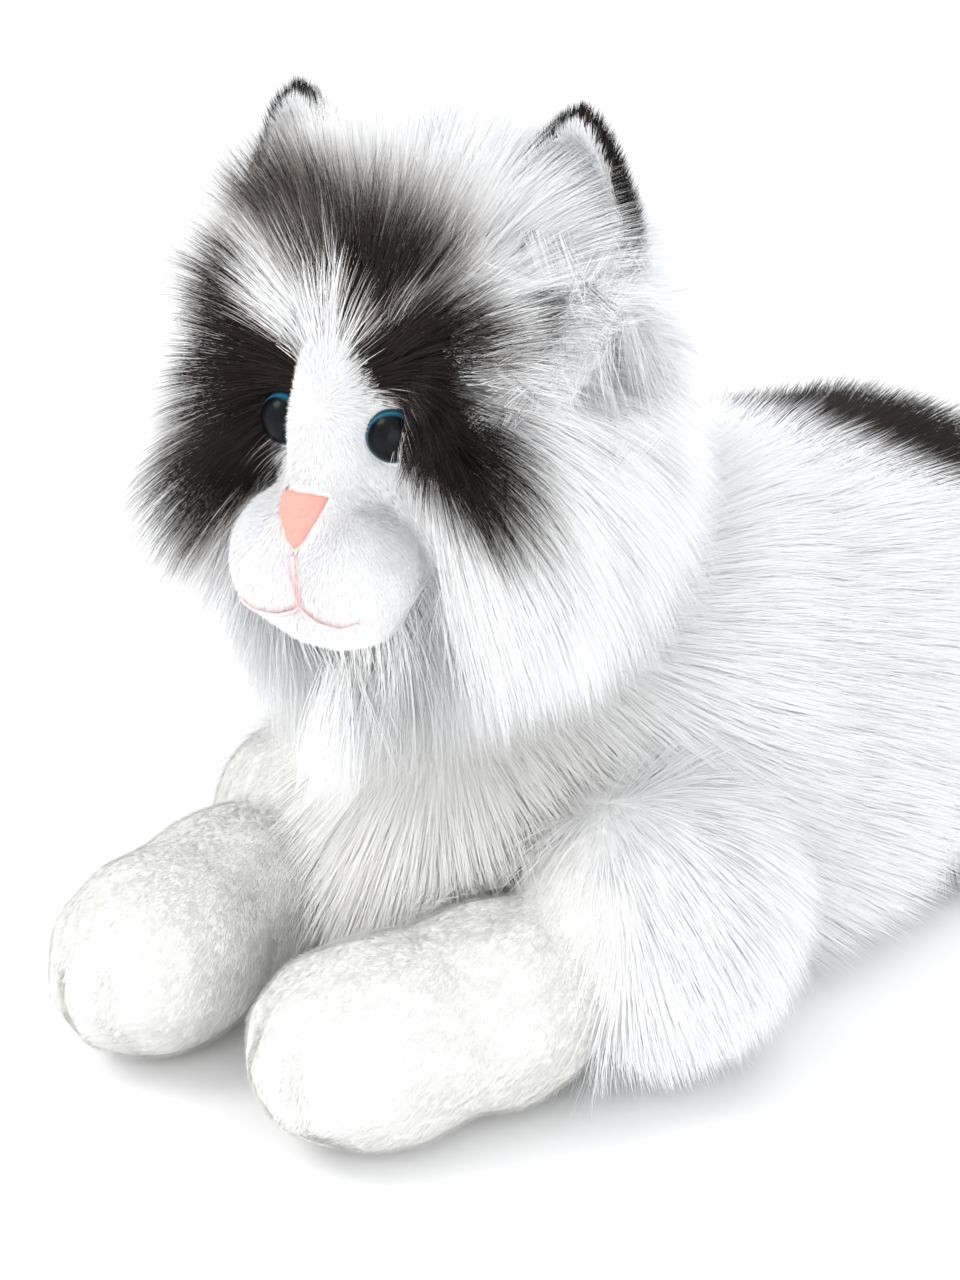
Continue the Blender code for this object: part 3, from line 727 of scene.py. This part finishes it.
def painted_cloth(name):
    """Backing cloth that takes the dark patches from a stored mask."""
    mat, nodes, links, shader = new_material(name)
    attr = nodes.new("ShaderNodeAttribute")
    attr.attribute_name = "patch"
    drift = noise(nodes, links, 40.0)
    white = mixed(nodes, links, drift, (0.925, 0.925, 0.92), (0.95, 0.945, 0.925))
    brown = mixed(nodes, links, drift, (0.014, 0.010, 0.009), (0.035, 0.025, 0.020))
    edge = ranged(nodes, links, attr.outputs["Fac"], 0.35, 0.65)
    links.new(mixed(nodes, links, edge, white, brown), shader.inputs["Base Color"])
    shader.inputs["Roughness"].default_value = 0.9
    shader.inputs["Sheen Weight"].default_value = 0.3
    bumped(nodes, links, shader, noise(nodes, links, 900.0, 2.0), 0.5, 0.0006)
    return mat


def paint(obj, mask):
    """Stores the dark mask on a skin."""
    verts, _, _ = mesh_arrays(obj)
    layer = obj.data.attributes.new("patch", "FLOAT", "POINT")
    layer.data.foreach_set("value", np.clip(mask(verts), 0, 1))
    obj.data.materials.clear()
    obj.data.materials.append(BACKING)


FUR = fur_material()
BACKING = painted_cloth("backing_cloth")

no_dark = constant(0.0)
all_dark = constant(1.0)
paint(SKINS["head_skin"], head_dark)
paint(SKINS["trunk_skin"], near_saddle)
for name, obj in SKINS.items():
    if name.startswith("tail"):
        paint(obj, all_dark)
    elif name not in ("head_skin", "trunk_skin") and not name.startswith("ear"):
        paint(obj, no_dark)
    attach(obj, SKIN_BODY[name])


# ---------------------------------------------------------------- face pieces

def middle_of(name):
    verts, _, _ = mesh_arrays(NODES[name])
    return verts.mean(0)


PUPIL_SHIFT = 0.10


def eye_dome(side, rings=28, spokes=72):
    """A glossy domed eye on the axis of its turned CAD solid."""
    verts, _, _ = mesh_arrays(NODES[f"eye_{side}"])
    centre = verts.mean(0)
    _, axes = np.linalg.eigh(np.cov((verts - centre).T))
    axis = axes[:, 2] * (1 if axes[:, 2] @ FRONT > 0 else -1)
    level = (verts - centre) @ axis
    radius = np.linalg.norm(verts - centre - np.outer(level, axis), axis=1).max() + 0.0001
    tall = level.max()
    across = unit(np.cross(UP, axis))
    across = across * (1 if across @ SIDE > 0 else -1)
    rise = np.cross(axis, across)
    points, faces, ring = [], [], []
    for i in range(rings):
        phi = math.radians(-25 + 115 * i / rings)
        for j in range(spokes):
            turn = 2 * math.pi * j / spokes
            out = across * math.cos(turn) + rise * math.sin(turn)
            points.append(centre + axis * tall * math.sin(phi) + out * radius * math.cos(phi))
            seen = np.array((math.cos(turn) * math.cos(phi) - PUPIL_SHIFT, math.sin(turn) * math.cos(phi)))
            ring.append(float(np.hypot(*seen)) if phi > 0 else 1.2)
    points += [centre + axis * tall, centre - axis * tall * 0.42]
    ring += [0.0, 1.2]
    for i in range(rings - 1):
        for j in range(spokes):
            a, b = i * spokes + j, i * spokes + (j + 1) % spokes
            faces.append((a, b, b + spokes, a + spokes))
    top = (rings - 1) * spokes
    for j in range(spokes):
        k = (j + 1) % spokes
        faces.append((top + j, top + k, len(points) - 2))
        faces.append((k, j, len(points) - 1))
    me = bpy.data.meshes.new(f"eye_dome_{side}")
    me.from_pydata([tuple(p) for p in points], [], faces)
    me.shade_smooth()
    layer = me.attributes.new("ring", "FLOAT", "POINT")
    layer.data.foreach_set("value", np.array(ring, dtype=float))
    obj = new_object(f"eye_dome_{side}", me)
    me.materials.append(EYE_GLOSS)
    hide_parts(f"eye_{side}")
    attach(obj, "head")
    return obj


def eye_material():
    """Black pupil in a thin blue-green ring, under a clear coat."""
    mat, nodes, links, shader = new_material("eye_gloss")
    attr = nodes.new("ShaderNodeAttribute")
    attr.attribute_name = "ring"
    ramp = nodes.new("ShaderNodeValToRGB")
    stops = ramp.color_ramp.elements
    stops[0].position, stops[0].color = 0.0, (0.003, 0.004, 0.005, 1)
    stops[1].position, stops[1].color = 1.0, (0.01, 0.03, 0.04, 1)
    for place, colour in ((0.84, (0.003, 0.004, 0.006, 1)), (0.88, (0.010, 0.08, 0.13, 1)),
                          (0.94, (0.03, 0.21, 0.33, 1)), (0.98, (0.015, 0.10, 0.16, 1))):
        stop = stops.new(place)
        stop.color = colour
    links.new(attr.outputs["Fac"], ramp.inputs["Fac"])
    streaks = mixed(nodes, links, noise(nodes, links, 700.0, 2.0), (0.7, 0.7, 0.7), (1.0, 1.0, 1.0))
    colour = mixed(nodes, links, 1.0, ramp.outputs["Color"], streaks, "MULTIPLY")
    links.new(colour, shader.inputs["Base Color"])
    shader.inputs["Roughness"].default_value = 0.3
    shader.inputs["Specular IOR Level"].default_value = 0.1
    shader.inputs["Coat Weight"].default_value = 0.10
    shader.inputs["Coat Roughness"].default_value = 0.02
    return mat


def velvet_material(name, low, high, scale=1500.0):
    """Flocked velvet with a fine nap."""
    mat, nodes, links, shader = new_material(name)
    nap = noise(nodes, links, scale, 2.0)
    drift = noise(nodes, links, 160.0, 2.0)
    colour = mixed(nodes, links, nap, low, high)
    colour = mixed(nodes, links, ranged(nodes, links, drift, 0.35, 0.7, 0.0, 0.35), colour, high)
    links.new(colour, shader.inputs["Base Color"])
    shader.inputs["Roughness"].default_value = 0.85
    shader.inputs["Sheen Weight"].default_value = 0.25
    bumped(nodes, links, shader, nap, 0.35, 0.0002)
    return mat


def remade(name, node, voxel, smooth, grow, mat):
    """A finer, rounder copy of a small CAD piece on the head."""
    me = NODES[node].data.copy()
    me.materials.clear()
    obj = evened(new_object(name, me), smooth, voxel)
    push(obj, grow)
    obj.data.shade_smooth()
    obj.data.materials.clear()
    obj.data.materials.append(mat)
    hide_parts(node)
    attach(obj, "head")
    return obj


EYE_GLOSS = eye_material()
EYES = [eye_dome(side) for side in ("left", "right")]
VELVET = velvet_material("nose_velvet", (0.78, 0.26, 0.21), (0.89, 0.39, 0.33))
THREAD = velvet_material("mouth_thread", (0.88, 0.60, 0.59), (0.95, 0.75, 0.73), 2500.0)
NOSE = remade("nose_velvet", "nose", 0.0006, 4, 0.0003, VELVET)
LINES = [remade("mouth_thread", "mouth_stitch", 0.00028, 2, -0.0003, THREAD),
         remade("philtrum_thread", "philtrum_stitch", 0.00028, 2, -0.0003, THREAD)]
WASHER = plastic_material("washer_plastic", (0.80, 0.80, 0.78), (0.84, 0.84, 0.82), 300.0)
for side in ("left", "right"):
    NODES[f"eye_washer_{side}"].data.materials.clear()
    NODES[f"eye_washer_{side}"].data.materials.append(WASHER)


# ---------------------------------------------------------------- coats

FACE_POINT = HEAD + 0.066 * FRONT + 0.004 * UP
FACE_KEEP_OFF = (tree_of(NOSE, *EYES), 0.0007, middle_of("nose") + 0.012 * UP, 0.045)


def comb_head(points, normals):
    """The face fur runs away from the bridge of the nose, more sideways than back, and the cheeks hang."""
    away = unit(points - FACE_POINT)
    bearing, height, _ = head_angles(points)
    cheek = np.clip((15 - height) / 40, 0, 1)[:, None]
    away = away - (0.75 * cheek) * (away @ FRONT)[:, None] * FRONT
    behind = (np.clip((np.abs(bearing) - 48) / 25, 0, 1) * np.clip((75 - height) / 25, 0, 1))[:, None]
    flow = unit(away - (0.10 + 0.45 * cheek + 0.70 * behind) * UP)
    ear_front = (near_ears(points) * np.clip((62 - np.abs(bearing)) / 15, 0, 1))[:, None]
    return flow * (1 - ear_front) + UP * ear_front


def head_droop(points):
    """Cheek and chin fur hangs, crown fur stands."""
    _, height, _ = head_angles(points)
    return 0.08 + 0.16 * np.clip((20 - height) / 40, 0, 1)


def comb_trunk(points, normals):
    """The chest fur hangs down, and the body fur runs backwards and down."""
    back_share = np.clip((points[:, 1] - TRUNK_LOW[1] - 0.02) / 0.10, 0, 1)
    flow = np.zeros((len(points), 3))
    side = np.clip((points[:, 0] - HEAD[0]) / 0.08, -1, 1)
    flow[:, 0] = 0.35 * side
    flow[:, 1] = 0.15 + 0.85 * back_share
    flow[:, 2] = -1.0 + 0.55 * back_share
    return flow


def comb_down(points, normals):
    """Fur that simply hangs."""
    return np.tile(-UP, (len(points), 1)) + 0.3 * normals


def short_face(points):
    """1 where the face has short pile: the muzzle, bridge and round the eyes."""
    bearing, height, _ = head_angles(points)
    bridge = oval(bearing, height, (0, 0), (16, 22), 0, 0.3)
    muzzle = oval(bearing, height, (4, -28), (29, 24), 0, 0.3)
    return np.maximum(bridge, muzzle)


def face_weight(points):
    """Short pile grows on the face, but not under the nose and eyes."""
    return short_face(points) * (gaps(points, FACE_KEEP_OFF[0]) > 0.0006)


def head_length(points):
    bearing, height, _ = head_angles(points)
    short = short_face(points)
    around = np.hypot(bearing, height + 8)
    grown = np.clip((around - 18) / 34, 0, 1)
    ruff = np.clip((10 - height) / 30, 0, 1) * np.clip((around - 28) / 25, 0, 1)
    return (0.016 + 0.028 * grown + 0.022 * ruff) * (1 - 0.6 * short)


def head_stand(points):
    """Fur stands up most on the crown, on the cheeks and round the outside of the eyes."""
    bearing, height, _ = head_angles(points)
    around = np.hypot(bearing, height + 8)
    crown = np.clip((height - 40) / 30, 0, 1)
    stand = 0.42 + 0.20 * np.clip((around - 20) / 40, 0, 1) + 0.08 * crown
    lid = np.maximum(oval(bearing, height, (32, 2), (9, 16), 0, 0.6),
                     oval(bearing, height, (-33, 2), (9, 16), 0, 0.6))
    puff = np.maximum(oval(bearing, height, (-52, -30), (24, 20), 0, 0.6),
                      oval(bearing, height, (70, 34), (30, 24), 0, 0.6))
    stand = stand + 0.14 * puff
    return stand + (0.80 - stand) * lid


def near_ears(points):
    """1 at the roots of the ears, fading to 0 away from them."""
    roots = [joint_place(f"ear_{side}_flex") for side in ("left", "right")]
    near = np.min([np.linalg.norm(points - root, axis=1) for root in roots], axis=0)
    return np.exp(-(near / 0.026) ** 2)


def comb_along(start, end):
    """Fur that lies along a limb."""
    return lambda points, normals: np.tile(end - start, (len(points), 1))


def trunk_length(points):
    """The saddle patch has slightly shorter fur."""
    return 0.040 - 0.004 * near_saddle(points)


def trunk_stand(points):
    return 0.46 - 0.06 * near_saddle(points)


def paw_line(side):
    """The middle of a paw, and the level direction from it to the shoulder."""
    paw = box_centre(f"foreleg_{side}_paw")
    back = joint_place(f"foreleg_{side}_lift") - paw
    back[2] = 0
    return paw, unit(back)


def leg_rule(side, turn_at, turn_over):
    """Where a foreleg's short pile gives way to long fur, from 0 at the paw to 1 at the shoulder."""
    paw, back = paw_line(side)
    return lambda points: np.clip(((points - paw) @ back - turn_at) / turn_over, 0, 1)


def comb_leg(rule):
    """Short pile runs forward to the toes; the long fur hangs from the shoulder."""
    def comb(points, normals):
        share = rule(points)[:, None]
        forward = np.tile(np.array((0.0, -0.6, -0.35)), (len(points), 1))
        hanging = np.tile(np.array((0.22, 0.35, -1.0)), (len(points), 1))
        return forward * (1 - share) + hanging * share
    return comb


def dent_toes(side, depth=0.0030, wide=0.0026, apart=0.011):
    """Presses shallow dimples between the toes."""
    obj = SKINS[f"foreleg_{side}_skin"]
    verts, _, _ = mesh_arrays(obj)
    paw, back = paw_line(side)
    across = np.cross(UP, back)
    rel = verts - paw
    front = np.clip((-(rel @ back) - 0.022) / 0.014, 0, 1)
    low = np.clip((0.022 - rel[:, 2]) / 0.02, 0, 1)
    groove = sum(np.exp(-((rel @ across - at) / wide) ** 2 / 2) for at in (-apart, apart))
    push(obj, -depth * groove * front * low)


LESS = 1.0


def many(count):
    return int(count * LESS)


fur("head_fur", "head_skin", many(112000), head_length, head_stand, comb_head, head_shade,
    weight=lambda p: 1 - short_face(p), seed=11, clump=0.30, droop=head_droop, stray=0.07, width=0.00024,
    avoid=FACE_KEEP_OFF)
fur("ear_tufts", "head_skin", many(9000), constant(0.020), constant(0.62), comb_head, head_shade,
    weight=near_ears, seed=15, clump=0.15, droop=constant(0.04), stray=0.06, width=0.00024,
    avoid=FACE_KEEP_OFF)
fur("face_pile", "head_skin", many(56000), constant(0.0034), constant(0.34), comb_head, head_shade,
    weight=face_weight, seed=12, clump=0.05, droop=constant(0.02), segments=2, width=0.00028, margin=0.0,
    avoid=FACE_KEEP_OFF, facing_noise=0.08, blush=LINES)
fur("trunk_fur", "trunk_skin", many(110000), trunk_length, trunk_stand, comb_trunk, trunk_shade,
    seed=13, clump=0.30, droop=constant(0.08), stray=0.07, segments=3)
fur("neck_fur", "neck_skin", many(14000), constant(0.034), constant(0.5), comb_down, plain_shade(0.0),
    seed=14, clump=0.35, droop=constant(0.12), segments=3)
for side, seed, turn_at in (("left", 20, 0.058), ("right", 30, 0.088)):
    dent_toes(side)
    rule = leg_rule(side, turn_at, 0.018)
    fur(f"foreleg_{side}_fur", f"foreleg_{side}_skin", many(16000), constant(0.030), constant(0.34),
        comb_leg(rule), plain_shade(0.0, 0.2), weight=rule, seed=seed, clump=0.32, stray=0.07)
    fur(f"foreleg_{side}_pile", f"foreleg_{side}_skin", many(60000), constant(0.0036), constant(0.30),
        comb_leg(rule), plain_shade(0.0, 0.75), weight=lambda p, rule=rule: 1 - rule(p), seed=seed + 1,
        clump=0.05, droop=constant(0.03), segments=2, margin=0.0, facing_noise=0.05)
    fur(f"hindleg_{side}_fur", f"hindleg_{side}_skin", many(24000), constant(0.032), constant(0.46),
        comb_trunk, plain_shade(0.0), seed=seed + 2, clump=0.30, segments=3)
    paint(SKINS[f"ear_{side}_skin"], ear_dark(side))
    fur(f"ear_{side}_fur", f"ear_{side}_skin", many(16000), ear_length(side), constant(0.50),
        lambda p, n: np.tile(UP, (len(p), 1)), ear_shade(side), seed=seed + 3, clump=0.2, segments=2,
        droop=constant(0.0), margin=0.0)
TAIL = [joint_place("tail_base_swing"), joint_place("tail_middle_curl"), joint_place("tail_tip_curl")]
TAIL.append(2 * box_centre("tail_tip_coat") - TAIL[2])
for seed, part in enumerate(("base", "middle", "tip")):
    fur(f"tail_{part}_fur", f"tail_{part}_skin", many(16000), constant(0.028), constant(0.42),
        comb_along(TAIL[seed], TAIL[seed + 1]), plain_shade(1.0), seed=40 + seed, clump=0.30, segments=3)


# ---------------------------------------------------------------- camera, floor and light

AIM = HEAD + np.array((0.0325, -0.0134, -0.0818))
BEARING, ELEVATION, AWAY = math.radians(38.0), math.radians(20.5), 0.830
back = np.array((math.sin(BEARING) * math.cos(ELEVATION), -math.cos(BEARING) * math.cos(ELEVATION),
                 math.sin(ELEVATION)))
camera = bpy.data.cameras.new("camera")
camera.lens = 70.0
camera.sensor_width = 36.0
camera.clip_start = 0.01
camera.clip_end = 50.0
eye = bpy.data.objects.new("camera", camera)
scene.collection.objects.link(eye)
eye.location = AIM + back * AWAY
eye.rotation_euler = Vector(-back).to_track_quat("-Z", "Y").to_euler()
scene.camera = eye

floor_mesh = bpy.data.meshes.new("floor")
floor_mesh.from_pydata([(-9, -9, 0), (9, -9, 0), (9, 9, 0), (-9, 9, 0)], [], [(0, 1, 2, 3)])
floor = new_object("floor", floor_mesh)
floor.location.z = -0.0004
mat, nodes, links, shader = new_material("studio_floor")
links.new(mixed(nodes, links, noise(nodes, links, 3.0), (0.97, 0.97, 0.97), (0.985, 0.985, 0.985)),
          shader.inputs["Base Color"])
shader.inputs["Roughness"].default_value = 1.0
shader.inputs["Specular IOR Level"].default_value = 0.0
floor.data.materials.append(mat)

world = bpy.data.worlds.new("studio")
scene.world = world
world.use_nodes = True
world.node_tree.nodes["Background"].inputs["Color"].default_value = (0.97, 0.98, 1.0, 1.0)
world.node_tree.nodes["Background"].inputs["Strength"].default_value = 1.08


def softbox(name, place, size, power, colour=(1.0, 1.0, 1.0)):
    light = bpy.data.lights.new(name, "AREA")
    light.shape = "DISK"
    light.size = size
    light.energy = power
    light.color = colour
    obj = bpy.data.objects.new(name, light)
    scene.collection.objects.link(obj)
    obj.location = place
    obj.rotation_euler = (Vector(place) - Vector(HEAD - 0.08 * UP)).to_track_quat("Z", "Y").to_euler()


softbox("key", (-0.8, -1.1, 1.5), 0.8, 10.0, (1.0, 0.985, 0.96))
softbox("fill", (1.6, -0.9, 0.9), 1.2, 3.0, (0.93, 0.96, 1.0))
softbox("top", (0.3, 0.5, 1.9), 1.0, 6.0, (0.96, 0.98, 1.0))
softbox("front", (0.75, -1.15, 0.30), 1.0, 4.5, (1.0, 0.995, 0.98))
softbox("spark", (0.55, -1.25, 1.05), 0.05, 0.6)
scene.view_settings.view_transform = "Standard"
